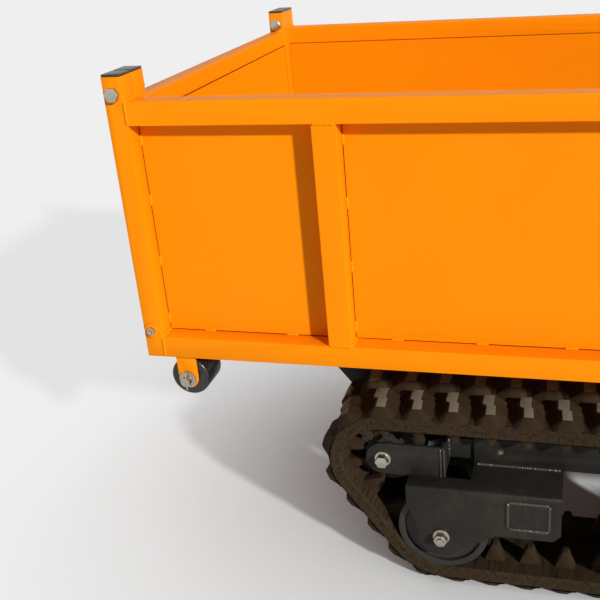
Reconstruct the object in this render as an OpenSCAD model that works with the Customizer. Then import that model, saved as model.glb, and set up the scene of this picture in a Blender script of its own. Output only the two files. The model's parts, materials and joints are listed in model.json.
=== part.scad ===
// Tracked power carrier: a tipping load tray on two rubber tracks, driven by a small petrol
// engine behind the tray and walked along by a handlebar.
// X points to the front, Y to the left side, Z up, and the tracks stand on z = 0.

/* [Overall] */
// Length from the front posts to the ends of the hand grips
overall_l = 1900; // [1850:10:2000]
// Running clearance on the radius of a pin or shaft
run_clear = 0.05; // [0.02:0.01:0.1]
// Gap between a wheel or pulley and the belt that runs on it
belt_gap = 0.8; // [0.6:0.1:1.5]
// Gap beside a moving piece
side_gap = 2; // [1:0.5:3]

/* [Load tray] */
// Length of the tray
tray_l = 1210; // [1150:10:1230]
// Width of the tray over its side frames
tray_w = 820; // [800:10:900]
// Height of the tray's underside above the ground
tray_z = 445; // [440:1:460]
// Side of the square tube of the side frames
rail = 35; // [30:1:40]
// Height of the top rails above the tray's underside
rail_top = 414; // [380:2:440]
// Height of the front posts above the tray's underside
post_h = 450; // [446:1:480]
// Depth of the front posts along the tray
post_d = 30; // [26:1:34]
// Distance from the front of the tray to the front stake
stake_set = 310; // [250:10:360]
// Thickness of the side, gate and rear panels
panel_t = 2; // [1.5:0.5:4]
// Thickness of the floor plate
floor_t = 3; // [2:0.5:5]
// Height of the floor bearers
bearer_h = 20; // [15:1:28]
// Width of a floor bearer
bearer_w = 56; // [50:2:70]
// Thickness of the plastic caps on the posts
cap_t = 4; // [3:0.5:6]

/* [Front gate] */
// Gap between the gate and the posts
gate_gap = 3; // [2:0.5:5]
// Width of the gate's end tubes
gate_tube = 35; // [30:1:40]
// Height of the gate's rails
gate_rail = 30; // [25:1:35]
// Height of the gate's top rail above the tray's underside
gate_top = 410; // [380:2:414]
// Height of the gate's lower edge above the tray's underside
gate_low = 4; // [3:1:8]
// Height of the gate's hinge bolts above the tray's underside
gate_pin_z = 425; // [420:1:434]
// Diameter of the gate's hinge bolts
gate_pin_d = 12; // [10:1:14]
// Height of the clamp screws above the tray's underside
clamp_z = 48; // [44:1:60]
// Diameter of the clamp screws
clamp_d = 8; // [6:1:10]
// Diameter of the welded boss that takes a clamp screw
boss_d = 24; // [20:1:28]
// Height of that boss on the post
boss_h = 5; // [3:1:6]

/* [Tip rollers] */
// Distance from the front of the tray to the roller pin
roller_set = 60; // [55:1:70]
// Drop of the roller pin below the tray
roller_drop = 44; // [40:1:50]
// Diameter of a roller
roller_d = 66; // [56:2:70]
// Length of a roller
roller_l = 56; // [40:2:60]
// Diameter of a roller pin
roller_pin_d = 16; // [14:1:20]
// Thickness of the roller's bracket plates
roller_plate = 6; // [5:1:8]
// Width of the roller's bracket plates
roller_plate_w = 33; // [30:1:40]

/* [Tray hinge] */
// Distance from the front of the tray to the hinge
hinge_set = 205; // [190:5:220]
// Drop of the hinge below the tray
hinge_drop = 43; // [38:1:46]
// Diameter of the hinge pins
hinge_pin_d = 25; // [20:1:28]
// Radius of the eye round a hinge pin
hinge_eye_r = 28; // [24:1:32]
// Thickness of the hinge towers and of the tray's ears
hinge_plate = 10; // [8:1:12]
// Distance from the middle of the machine to a tower's outer face
tower_y = 160; // [150:1:165]
// Thickness of the rubber bump stops
bump_t = 15; // [10:1:20]

/* [Chassis] */
// Distance from the middle of the machine to the outside of a chassis rail
rail_y = 110; // [108:1:116]
// Width of a chassis rail
rail_w = 40; // [30:2:44]
// Height of a chassis rail
rail_h = 60; // [50:2:62]
// Height of the rails' underside above the ground
rail_z = 250; // [248:1:254]
// Thickness of the engine deck
deck_t = 6; // [4:1:8]
// Gap between the engine deck and a track
deck_gap = 10; // [7:1:18]
// Length of a cross tube's section
cross_l = 66; // [50:2:70]
// Height of a cross tube's section
cross_h = 52; // [40:2:54]
// Gap between the cross tubes and the tops of the wheel brackets
cross_gap = 8; // [4:1:14]

/* [Tracks] */
// Distance from the middle of the machine to the middle of a track
track_y = 275; // [273:1:285]
// Width of a track
track_w = 180; // [170:2:182]
// Thickness of the track's carcass
carcass = 24; // [16:1:26]
// Height of the tread lugs
lug_h = 16; // [10:1:16]
// Length of a tread lug along the track, at its foot
lug_l = 46; // [40:1:48]
// Length of a tread lug along the track, at its top
lug_top = 22; // [16:1:28]
// Wanted pitch of the tread lugs
lug_pitch = 60; // [50:1:70]
// Height of the guide lugs inside the track
guide_h = 32; // [24:1:33]
// Length of a guide lug along the track, at its foot
guide_l = 34; // [28:1:38]
// Length of a guide lug along the track, at its tip
guide_top = 12; // [8:1:16]
// Width of a guide lug
guide_w = 18; // [12:1:19]
// Distance from the edge of the track to a guide lug
guide_in = 31; // [30:1:34]
// Distance from the front of the tray to the idler
idler_set = 368; // [360:1:372]
// Height of the idler above the ground
idler_z = 239; // [237:1:242]
// Radius of the track's inner face round the idler
idler_r = 66; // [64:1:68]
// Width of an idler
idler_w = 70; // [50:2:72]
// Distance from the idler to the first road wheel
wheel_set = 102; // [98:1:106]
// Radius of the track's inner face round a road wheel
wheel_r = 78; // [74:1:79]
// Width of a road wheel's rim
rim_w = 27; // [20:1:28]
// Distance from the rear of the tray to the drive sprockets
sprocket_back = 210; // [200:1:220]
// Distance from the last road wheel to the drive sprocket
sprocket_set = 280; // [272:1:290]
// Height of the drive sprockets above the ground
sprocket_z = 222; // [218:1:226]
// Radius of the track's inner face round a sprocket
sprocket_r = 80; // [78:1:82]
// Width of a sprocket
sprocket_w = 56; // [40:2:70]
// Number of teeth on a sprocket
sprocket_teeth = 9; // [7:1:12]
// Diameter of the wheel axles
axle_d = 20; // [16:1:24]
// Diameter of the axles' threaded ends
stud_d = 14; // [12:1:15]
// Side of the square track beam
beam = 50; // [46:1:54]
// Side of the square yoke stem that slides in the track beam
stem = 38; // [32:1:40]
// Height of the yoke's side plates
yoke_h = 60; // [50:2:62]
// Travel of the yoke in the track beam
yoke_travel = 20; // [10:1:24]
// Thickness of the yoke's and the wheel brackets' plates
plate_t = 6; // [5:1:8]
// Gap between the edge of the track and a wheel bracket
bracket_gap = 10; // [8:1:14]

/* [Drive] */
// Diameter of the sprocket shafts
shaft_d = 35; // [28:1:36]
// Half of the gearbox's width
gearbox_y = 95; // [85:1:100]
// Distance behind the sprockets of the gearbox's input shaft
input_set = 100; // [98:1:110]
// Height of the gearbox's input shaft
input_z = 205; // [200:1:210]
// Diameter of the input shaft
input_d = 20; // [18:1:25]
// Radius of the gearbox's pulley
input_r = 55; // [50:1:58]
// Radius of the engine's pulley
engine_r = 40; // [35:1:45]
// Width of the pulleys
pulley_w = 20; // [16:1:22]
// Thickness of the drive belt
v_belt_t = 8; // [6:1:10]
// Height of the engine's shaft above the deck
crank_h = 106; // [100:1:120]
// Distance behind the sprockets of the engine's shaft
crank_set = 120; // [110:2:130]
// Diameter of the engine's shaft
crank_d = 25; // [19:1:28]

/* [Handlebar] */
// Height of the hand grips
grip_z = 900; // [860:10:960]
// Distance from the middle of the machine to a hand grip
grip_y = 230; // [210:5:260]
// Diameter of the handlebar's tube
bar_d = 28; // [25:1:34]
// Length of a hand grip
grip_l = 120; // [100:5:130]
// Outer diameter of a hand grip
grip_d = 36; // [34.5:0.5:40]
// Diameter of the pins that the levers turn on
lever_pin_d = 8; // [6:1:10]
// Thickness of the levers
lever_t = 8; // [6:1:10]

/* [Hidden] */
$fn = 48;

orange = "orange";
black = "dimgray";
zinc = "silver";
rubber = "black";

// A sliver that lets one cut run past the face that it starts from
over = 1;
// Gap that keeps a fixed end clear of a moving piece
end_gap = 0.3;

// Load tray
front_x = overall_l / 2;
side_y = tray_w / 2;
inner_y = side_y - rail;
post_x = front_x - post_d;
tray_back = front_x - tray_l;
tray_mid_x = front_x - tray_l / 2;
rail_top_z = tray_z + rail_top;
post_top_z = tray_z + post_h;
floor_front = post_x - side_gap;
stakes_x = [front_x - stake_set - rail, tray_back + stake_set];

// Front gate
gate_y = inner_y - gate_gap;
gate_x = front_x - post_d / 2;
gate_z = tray_z + gate_pin_z;
hex_h = 8;
washer_t = 2.5;

// Tip rollers
roller_x = front_x - roller_set;
roller_z = tray_z - roller_drop;
roller_out = side_y - rail / 4;

// Tray hinge
hinge_x = front_x - hinge_set;
hinge_z = tray_z - hinge_drop;
ear_y = tower_y + side_gap;
bearers_x = [floor_front - bearer_w / 2, hinge_x, tray_mid_x, tray_back + rail + bearer_w / 2];

// Chassis
rail_top_of = rail_z + rail_h;
deck_z = rail_top_of + deck_t;
tower_foot = 100;
tower_base = hinge_x - 185;
rails_front = tower_base + tower_foot - 20;
rails_back = tray_back - 520;
deck_front = tray_back - 40;

// Tracks
idler_x = front_x - idler_set;
sprocket_x = tray_back - sprocket_back;
wheel_pitch = (idler_x - wheel_set - sprocket_set - sprocket_x) / 2;
wheels_x = [for (i = [0:2]) idler_x - wheel_set - i * wheel_pitch];
wheel_z = wheel_r + carcass + lug_h;
track_in = track_y - track_w / 2;
deck_y = track_in - deck_gap;
guide_y = track_w / 2 - guide_in - guide_w;
loop = [[idler_x, idler_z, idler_r], [wheels_x[0], wheel_z, wheel_r],
    [wheels_x[2], wheel_z, wheel_r], [sprocket_x, sprocket_z, sprocket_r]];
plate_y = track_w / 2 + bracket_gap;
bracket_h = 207;
cross_z = bracket_h - cross_gap - cross_h;
bracket_front = 58;
bracket_back = 195;
cross_set = 110;
crosses_x = [for (i = [0, 2]) wheels_x[i] - cross_set - cross_l / 2];
beam_z = bracket_h + plate_t + beam / 2;
beam_front = wheels_x[0] - 46;
beam_back = wheels_x[2] - cross_set - cross_l;
yoke_y = track_w / 2 - guide_in + 5;
yoke_back = beam_front + yoke_travel + 30;
stem_back = beam_front - 110;

// Drive
input_x = sprocket_x - input_set;
crank_x = sprocket_x - crank_set;
crank_z = deck_z + crank_h;
pulley_y = track_in - 39;

module box(x, y, z) {
    translate([x[0], y[0], z[0]]) cube([x[1] - x[0], y[1] - y[0], z[1] - z[0]]);
}

module rod_y(x, z, d, y0, y1) {
    translate([x, y0, z]) rotate([-90, 0, 0]) cylinder(d = d, h = y1 - y0);
}

module hex_y(x, z, d, y0, y1) {
    translate([x, y0, z]) rotate([-90, 0, 0]) cylinder(d = d, h = y1 - y0, $fn = 6);
}

module plate_xz(y0, y1) {
    translate([0, y1, 0]) rotate([90, 0, 0]) linear_extrude(y1 - y0) children();
}

module on_side(side) {
    mirror([0, side < 0 ? 1 : 0, 0]) children();
}

module both_sides() {
    for (side = [1, -1]) on_side(side) children();
}

// Welded side of the tray: front post, two rails, two stakes and a rear post
module side_frame(side) {
    color(orange) on_side(side) difference() {
        union() {
            box([post_x, front_x], [inner_y, side_y], [tray_z, post_top_z]);
            for (z = [tray_z, rail_top_z - rail])
                box([tray_back, post_x], [inner_y, side_y], [z, z + rail]);
            for (x = concat(stakes_x, [tray_back]))
                box([x, x + rail], [inner_y, side_y], [tray_z, rail_top_z]);
            rod_y(gate_x, tray_z + clamp_z, boss_d, side_y - over, side_y + boss_h);
        }
        rod_y(gate_x, gate_z, gate_pin_d, inner_y - over, side_y + over);
        rod_y(gate_x, tray_z + clamp_z, clamp_d, inner_y - over, side_y + boss_h + over);
    }
}

module left_side_frame() { side_frame(1); }
module right_side_frame() { side_frame(-1); }

// Thin panels in the bays of the side frames and the rear wall, flush with the inner faces
module tray_panels() {
    ends = [tray_back + rail, stakes_x[1], stakes_x[1] + rail, stakes_x[0], stakes_x[0] + rail,
        post_x];
    color(orange) both_sides() {
        for (i = [0:2:4]) box([ends[i], ends[i + 1]], [inner_y, inner_y + panel_t],
            [tray_z + rail, rail_top_z - rail]);
        box([tray_back + rail - panel_t, tray_back + rail], [rail / 2, inner_y],
            [tray_z + rail, rail_top_z - rail]);
    }
}

// Frame of the rear wall, between the side frames
module rear_wall() {
    color(orange) {
        for (z = [tray_z, rail_top_z - rail])
            box([tray_back, tray_back + rail], [-inner_y, inner_y], [z, z + rail]);
        box([tray_back, tray_back + rail], [-rail / 2, rail / 2], [tray_z, rail_top_z]);
    }
}

module tray_floor() {
    color(orange) box([tray_back + rail, floor_front], [-inner_y, inner_y],
        [tray_z + bearer_h, tray_z + bearer_h + floor_t]);
}

module floor_bearers() {
    color(orange) for (x = bearers_x)
        box([x - bearer_w / 2, x + bearer_w / 2], [-inner_y, inner_y], [tray_z, tray_z + bearer_h]);
}

striker_x = tray_back + rail / 2;
striker_drop = 70;
striker_d = 12;
striker_y = 24;

// Ears under the tray that hang on the hinge pins, and the striker that the tip latch holds:
// a cross pin between two cheeks under the rear wall
module tray_fittings() {
    color(orange) {
        both_sides() difference() {
            union() {
                rod_y(hinge_x, hinge_z, 2 * hinge_eye_r, ear_y, ear_y + hinge_plate);
                box([hinge_x - hinge_eye_r, hinge_x + hinge_eye_r], [ear_y, ear_y + hinge_plate],
                    [hinge_z, tray_z]);
            }
            rod_y(hinge_x, hinge_z, hinge_pin_d + 2 * run_clear, ear_y - over, ear_y + hinge_plate + over);
        }
        both_sides() box([striker_x - 14, striker_x + 14], [striker_y - 6, striker_y],
            [tray_z - striker_drop - 12, tray_z]);
        rod_y(striker_x, tray_z - striker_drop, striker_d, -striker_y + over, striker_y - over);
    }
}

module post_caps() {
    color(rubber) both_sides()
        box([post_x, front_x], [inner_y, side_y], [post_top_z, post_top_z + cap_t]);
}

// Hex bolts through the posts that the gate hangs on, with washers and nuts inside the gate
module gate_hinge_bolts() {
    nut_y = gate_y - gate_tube - end_gap;
    color(zinc) both_sides() {
        hex_y(gate_x, gate_z, 1.9 * gate_pin_d, side_y, side_y + hex_h);
        rod_y(gate_x, gate_z, gate_pin_d, nut_y - hex_h - washer_t, side_y);
        rod_y(gate_x, gate_z, 2 * gate_pin_d, nut_y - washer_t, nut_y);
        hex_y(gate_x, gate_z, 1.8 * gate_pin_d, nut_y - washer_t - hex_h, nut_y - washer_t);
    }
}

// Socket screws in the posts' bosses that press on the gate's end tubes
module clamp_screws() {
    head_y = side_y + boss_h;
    color(zinc) both_sides() difference() {
        union() {
            rod_y(gate_x, tray_z + clamp_z, 1.7 * clamp_d, head_y, head_y + clamp_d / 2);
            rod_y(gate_x, tray_z + clamp_z, clamp_d, gate_y + end_gap, head_y + over);
        }
        hex_y(gate_x, tray_z + clamp_z, 0.8 * clamp_d, head_y, head_y + clamp_d);
    }
}

// Pairs of plates under the front corners that carry the tip rollers
module roller_brackets() {
    outer = [roller_out - roller_plate, roller_out];
    inner = [outer[0] - roller_l - 2 * side_gap - roller_plate, outer[0] - roller_l - 2 * side_gap];
    color(orange) both_sides() {
        for (y = [outer, inner]) difference() {
            union() {
                rod_y(roller_x, roller_z, roller_plate_w, y[0], y[1]);
                box([roller_x - roller_plate_w / 2, roller_x + roller_plate_w / 2], y, [roller_z, tray_z]);
            }
            rod_y(roller_x, roller_z, roller_pin_d, y[0] - over, y[1] + over);
        }
        box([roller_x - roller_plate_w / 2, roller_x + roller_plate_w / 2], [inner[0], outer[1]],
            [tray_z - roller_plate, tray_z]);
    }
}

module roller_pins() {
    tail = roller_out - 2 * roller_plate - roller_l - 2 * side_gap;
    color(zinc) both_sides() {
        rod_y(roller_x, roller_z, roller_pin_d, tail, roller_out + 14);
        rod_y(roller_x, roller_z, 1.8 * roller_pin_d, roller_out, roller_out + 3);
        rod_y(roller_x, roller_z, 1.5 * roller_pin_d, tail - 6, tail);
        translate([roller_x, roller_out + 9, roller_z - roller_pin_d])
            cylinder(d = 3.5, h = 2 * roller_pin_d, $fn = 16);
    }
}

module tip_roller(side) {
    y0 = roller_out - roller_plate - side_gap - roller_l;
    color(rubber) on_side(side) difference() {
        rod_y(roller_x, roller_z, roller_d, y0, y0 + roller_l);
        rod_y(roller_x, roller_z, roller_pin_d + 2 * run_clear, y0 - over, y0 + roller_l + over);
    }
}

module left_tip_roller() { tip_roller(1); }
module right_tip_roller() { tip_roller(-1); }

// Frame of the front gate, hung on its two end tubes
module gate_frame() {
    low = tray_z + gate_low;
    high = tray_z + gate_top;
    color(orange) {
        both_sides() difference() {
            box([post_x, front_x], [gate_y - gate_tube, gate_y], [low, post_top_z]);
            rod_y(gate_x, gate_z, gate_pin_d + 2 * run_clear, gate_y - gate_tube - over, gate_y + over);
        }
        for (z = [low, high - gate_rail])
            box([post_x, front_x], [gate_tube - gate_y, gate_y - gate_tube], [z, z + gate_rail]);
    }
}

module gate_panel() {
    color(orange) box([post_x, post_x + panel_t], [gate_tube - gate_y, gate_y - gate_tube],
        [tray_z + gate_low + gate_rail, tray_z + gate_top - gate_rail]);
}

module gate_caps() {
    color(rubber) both_sides()
        box([post_x, front_x], [gate_y - gate_tube, gate_y], [post_top_z, post_top_z + cap_t]);
}

// Two chassis rails under the tray and the engine, with the front cross member between the towers
module chassis_rails() {
    color(black) {
        both_sides() box([rails_back, rails_front], [rail_y - rail_w, rail_y], [rail_z, rail_top_of]);
        box([rails_front, rails_front + rail_w], [hinge_plate - tower_y, tower_y - hinge_plate],
            [rail_z, rail_top_of]);
    }
}

// Tubes that cross the machine through the wheel brackets, with blocks that carry the rails
module cross_tubes() {
    end = track_y + plate_y + plate_t + side_gap;
    color(black) for (x = crosses_x) {
        box([x - cross_l / 2, x + cross_l / 2], [-end, end], [cross_z, cross_z + cross_h]);
        both_sides() box([x - cross_l / 2, x + cross_l / 2], [rail_y - rail_w, rail_y],
            [cross_z + cross_h, rail_z]);
    }
}

// Plates that lean forward from the front cross member to the tray's hinge
module hinge_towers() {
    outline = [[tower_base, rail_z], [tower_base + tower_foot, rail_z],
        [hinge_x + 0.85 * hinge_eye_r, hinge_z - hinge_eye_r / 2],
        [hinge_x - 0.6 * hinge_eye_r, hinge_z + 0.8 * hinge_eye_r], [tower_base, rail_top_of]];
    color(black) both_sides() difference() {
        union() {
            plate_xz(tower_y - hinge_plate, tower_y) polygon(outline);
            rod_y(hinge_x, hinge_z, 2 * hinge_eye_r, tower_y - hinge_plate, tower_y);
        }
        rod_y(hinge_x, hinge_z, hinge_pin_d, tower_y - hinge_plate - over, tower_y + over);
    }
}

module hinge_pins() {
    out = ear_y + hinge_plate + end_gap;
    color(zinc) both_sides() {
        rod_y(hinge_x, hinge_z, hinge_pin_d, tower_y - hinge_plate, out + 8);
        rod_y(hinge_x, hinge_z, 1.5 * hinge_pin_d, tower_y - hinge_plate - 6, tower_y - hinge_plate);
        rod_y(hinge_x, hinge_z, 1.6 * hinge_pin_d, out, out + 4);
    }
}

// Rubber buffers on short posts that the back of the tray rests on
module bump_stops() {
    x = tray_back + rail + bearer_w / 2;
    color(rubber) both_sides() {
        box([x - 22, x + 22], [rail_y - rail_w, rail_y], [rail_top_of, tray_z - bump_t - end_gap]);
        translate([x, rail_y - rail_w / 2, tray_z - bump_t - end_gap]) cylinder(d = 40, h = bump_t);
    }
}

// Plate on the rails that carries the engine, open where the drive belt runs down, with the
// two cheeks and the pin of the tip latch
module engine_deck() {
    slot = crank_x - engine_r - 45;
    color(black) difference() {
        union() {
            box([rails_back, deck_front], [-deck_y, deck_y], [rail_top_of, deck_z]);
            both_sides() box([deck_front - 40, deck_front], [9, 15], [deck_z, latch_z + 16]);
            rod_y(latch_x, latch_z, lever_pin_d, -10, 10);
        }
        box([slot, input_x + input_r + 35], [-deck_y - over, side_gap - block_y],
            [rail_top_of - over, deck_z + over]);
    }
}

latch_x = deck_front - 20;
latch_z = deck_z + 34;

// Hook that holds the tray's striker down, with the hand lever that frees it
module tip_latch() {
    nose = striker_x + striker_d / 2;
    top = tray_z - striker_drop + striker_d / 2 + side_gap;
    color(black) difference() {
        union() {
            plate_xz(-lever_t / 2, lever_t / 2) polygon([[latch_x - 16, latch_z - 14],
                [latch_x + 16, latch_z - 14], [latch_x + 16, top - 2 * striker_d],
                [striker_x - striker_d / 2 - side_gap, top - striker_d],
                [striker_x - striker_d / 2 - side_gap, top], [nose, top],
                [nose - 6, top + 14], [latch_x, top + 20], [latch_x - 8, latch_z + 190],
                [latch_x - 20, latch_z + 190]]);
            rod_y(latch_x - 14, latch_z + 190, 30, -14, 14);
        }
        rod_y(latch_x, latch_z, lever_pin_d + 2 * run_clear, -lever_t, lever_t);
    }
}

// Square tubes inside the tracks: each is bored at the front for the yoke's stem
module track_beams() {
    half = stem / 2 + end_gap;
    color(black) both_sides() difference() {
        box([beam_back, beam_front], [track_y - beam / 2, track_y + beam / 2],
            [beam_z - beam / 2, beam_z + beam / 2]);
        box([stem_back - yoke_travel - side_gap, beam_front + over], [track_y - half, track_y + half],
            [beam_z - half, beam_z + half]);
        rod_y(beam_front - 45, beam_z, stud_d, track_y, track_y + beam);
    }
}

// Socket set screws sunk in the sides of the track beams that clamp the stems
module beam_bolts() {
    sunk = 3;
    out = track_y + beam / 2 - sunk;
    color(zinc) both_sides() difference() {
        rod_y(beam_front - 45, beam_z, stud_d, track_y + stem / 2 + 2 * end_gap, out);
        hex_y(beam_front - 45, beam_z, 0.5 * stud_d, out - 2, out + over);
    }
}

// One cheek of a road wheel's bracket: a lobe round the axle and a long tail to the rear
module bracket_cheek(x, y0, crossed) {
    tail_z = wheel_z + 11;
    lobe_r = 41;
    difference() {
        union() {
            plate_xz(y0, y0 + plate_t) polygon([[x + bracket_front, bracket_h + plate_t],
                [x + bracket_front, bracket_h - 24], [x + lobe_r * cos(15), wheel_z + lobe_r * sin(15)],
                [x - lobe_r * sin(20), wheel_z - lobe_r * cos(20)], [x - 90, tail_z],
                [x - bracket_back + 12, tail_z], [x - bracket_back, tail_z + 12],
                [x - bracket_back, bracket_h + plate_t]]);
            rod_y(x, wheel_z, 2 * lobe_r, y0, y0 + plate_t);
        }
        rod_y(x, wheel_z, stud_d, y0 - over, y0 + plate_t + over);
        if (crossed) box([x - cross_set - cross_l, x - cross_set], [y0 - over, y0 + plate_t + over],
            [cross_z, cross_z + cross_h]);
    }
}

// Inverted-U brackets under the track beams, one for each road wheel
module wheel_brackets() {
    color(black) both_sides() for (i = [0:2]) translate([0, track_y, 0]) {
        for (y = [plate_y, -plate_y - plate_t]) bracket_cheek(wheels_x[i], y, i != 1);
        box([max(wheels_x[i] - bracket_back, beam_back), wheels_x[i] - 46], [-plate_y, plate_y],
            [bracket_h, bracket_h + plate_t]);
        for (y = [[yoke_y + plate_t + side_gap, plate_y + over],
                  [-plate_y - over, -yoke_y - plate_t - side_gap]])
            box([wheels_x[i] - 47, wheels_x[i] + 58], y, [bracket_h, bracket_h + plate_t]);
    }
}

module wheel_axles() {
    out = plate_y + plate_t;
    color(zinc) both_sides() for (x = wheels_x) translate([0, track_y, 0]) {
        rod_y(x, wheel_z, axle_d, -plate_y, plate_y);
        rod_y(x, wheel_z, stud_d, -out - 20, out + 20);
        for (y = [-out - 3, out]) rod_y(x, wheel_z, 2 * stud_d, y, y + 3);
        for (y = [-out - 15, out + 3]) hex_y(x, wheel_z, 1.65 * stud_d, y, y + 12);
    }
}

// Fork that carries the idler, with its axle and the stem that slides in the track beam
module yoke(side) {
    half_h = yoke_h / 2;
    color(black) on_side(side) translate([0, track_y, 0]) {
        for (y = [yoke_y, -yoke_y - plate_t]) {
            rod_y(idler_x, beam_z, yoke_h, y, y + plate_t);
            box([yoke_back, idler_x], [y, y + plate_t], [beam_z - half_h, beam_z + half_h]);
        }
        box([yoke_back - plate_t, yoke_back], [-yoke_y - plate_t, yoke_y + plate_t],
            [beam_z - half_h, beam_z + half_h]);
        box([stem_back, yoke_back - plate_t], [-stem / 2, stem / 2],
            [beam_z - stem / 2, beam_z + stem / 2]);
        rod_y(idler_x, idler_z, axle_d, -yoke_y, yoke_y);
        for (y = [-yoke_y - plate_t - 3, yoke_y + plate_t]) rod_y(idler_x, idler_z, 2 * stud_d, y, y + 3);
        for (y = [-yoke_y - plate_t - 15, yoke_y + plate_t + 3])
            hex_y(idler_x, idler_z, 1.65 * stud_d, y, y + 12);
    }
}

module left_yoke() { yoke(1); }
module right_yoke() { yoke(-1); }

module idler(side) {
    web = 0.72 * idler_r;
    half = idler_w / 2;
    color(black) on_side(side) translate([idler_x, track_y, idler_z]) rotate([-90, 0, 0]) rotate_extrude()
        polygon([[axle_d / 2 + run_clear, -half - 1], [axle_d, -half - 1], [axle_d, -half / 2],
            [web, -half / 2], [web, -half], [idler_r - belt_gap, -half], [idler_r - belt_gap, half],
            [web, half], [web, half / 2], [axle_d, half / 2], [axle_d, half + 1],
            [axle_d / 2 + run_clear, half + 1]]);
}

module left_idler() { idler(1); }
module right_idler() { idler(-1); }

// Road wheel: two rims that run beside the guide lugs, joined by a hub on the axle
module road_wheel(side, i) {
    rim = wheel_r - belt_gap;
    out = track_w / 2 - 1;
    in = out - rim_w;
    hub = 1.25 * axle_d;
    color(black) on_side(side) translate([wheels_x[i], track_y, wheel_z]) rotate([-90, 0, 0])
        rotate_extrude()
        polygon([[axle_d / 2 + run_clear, -out - 4], [hub, -out - 4], [hub, -out + 8], [rim - 12, -out + 8],
            [rim - 12, -out], [rim, -out], [rim, -in], [rim - 12, -in], [rim - 12, -in - 6], [hub, -in - 6],
            [hub, in + 6], [rim - 12, in + 6], [rim - 12, in], [rim, in], [rim, out], [rim - 12, out],
            [rim - 12, out - 8], [hub, out - 8], [hub, out + 4], [axle_d / 2 + run_clear, out + 4]]);
}

module left_wheel_1() { road_wheel(1, 0); }
module left_wheel_2() { road_wheel(1, 1); }
module left_wheel_3() { road_wheel(1, 2); }
module right_wheel_1() { road_wheel(-1, 0); }
module right_wheel_2() { road_wheel(-1, 1); }
module right_wheel_3() { road_wheel(-1, 2); }

// Toothed drive sprocket on its shaft, which runs in the gearbox
module sprocket(side) {
    tip = sprocket_r - belt_gap;
    root = 0.8 * sprocket_r;
    step = 360 / sprocket_teeth;
    outline = [for (k = [0:sprocket_teeth - 1])
               for (p = [[-0.32, root], [-0.16, tip], [0.16, tip], [0.32, root]])
        p[1] * [cos((k + p[0]) * step), sin((k + p[0]) * step)]];
    color(black) on_side(side) {
        translate([sprocket_x, 0, sprocket_z]) plate_xz(track_y - sprocket_w / 2, track_y + sprocket_w / 2)
            polygon(outline);
        rod_y(sprocket_x, sprocket_z, shaft_d, gearbox_y - 50, track_y + sprocket_w / 2 + 8);
        rod_y(sprocket_x, sprocket_z, 1.9 * shaft_d, track_y - sprocket_w / 2 - 10,
              track_y + sprocket_w / 2 + 4);
    }
}

module left_sprocket() { sprocket(1); }
module right_sprocket() { sprocket(-1); }

// Course of the track, clockwise as seen from the right: an arc round each wheel of the loop,
// then a straight run to the next. Normals point out of the loop.
legs = len(loop);
function leg_normal(i) = let (a = loop[i % legs], b = loop[(i + 1) % legs], d = [b[0] - a[0], b[1] - a[1]])
    atan2(d[1], d[0]) + acos((a[2] - b[2]) / norm(d));
function leg_turn(i) = let (t = leg_normal(i + legs - 1) - leg_normal(i)) t - 360 * floor(t / 360);
function leg_arc(i) = leg_turn(i) * PI / 180 * (loop[i][2] + carcass);
function leg_run(i) = let (a = loop[i], b = loop[(i + 1) % legs], d = [b[0] - a[0], b[1] - a[1]])
    sqrt(d * d - pow(a[2] - b[2], 2));
function leg_start(i) = i == 0 ? 0 : leg_start(i - 1) + leg_arc(i - 1) + leg_run(i - 1);
function ray(angle) = [cos(angle), sin(angle)];
// Point of the course at length s round it, d outside the track's inner face
function course_on_leg(i, s, d) = let (reach = loop[i][2] + d, mid = [loop[i][0], loop[i][1]])
    s < leg_arc(i)
        ? mid + reach * ray(leg_normal(i + legs - 1) - s / (loop[i][2] + carcass) * 180 / PI)
        : mid + reach * ray(leg_normal(i)) + (s - leg_arc(i)) * ray(leg_normal(i) - 90);
course_l = leg_start(legs - 1) + leg_arc(legs - 1) + leg_run(legs - 1);
starts = [for (i = [0:legs - 1]) leg_start(i)];
function leg_of(s, i) = i == 0 || s >= starts[i] ? i : leg_of(s, i - 1);
function course(s, d) = let (t = s - course_l * floor(s / course_l), i = leg_of(t, legs - 1))
    course_on_leg(i, t - starts[i], d);

lug_count = round(course_l / lug_pitch);
pitch = course_l / lug_count;
arc_step = 8;
function turning(s) = let (t = s - course_l * floor(s / course_l), i = leg_of(t, legs - 1))
    t - starts[i] < leg_arc(i);
// Outline with one raised block in each pitch: a foot and a top of their own lengths, on the plain
// face low and up to high. Where the track bends, two points more follow the bend between the blocks.
function blocks(low, high, foot, top, phase) = [for (k = [0:lug_count - 1])
    for (p = [[-foot / 2, low, true],
    [-top / 2, high, true], [top / 2, high, true], [foot / 2, low, true],
    [foot / 2 + (pitch - foot) / 3, low, false], [foot / 2 + (pitch - foot) * 2 / 3, low, false]])
    let (s = (k + phase) * pitch + p[0]) if (p[2] || turning(s)) course(s, p[1])];
// Plain outline: the arcs' points alone
function plain(d) = [for (i = [0:legs - 1]) let (n = ceil(leg_turn(i) / arc_step)) for (k = [0:n])
    course_on_leg(i, k / n * leg_arc(i), d)];

module ring(y, outer, inner) {
    plate_xz(y[0], y[1]) difference() {
        polygon(outer);
        polygon(inner);
    }
}

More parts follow.
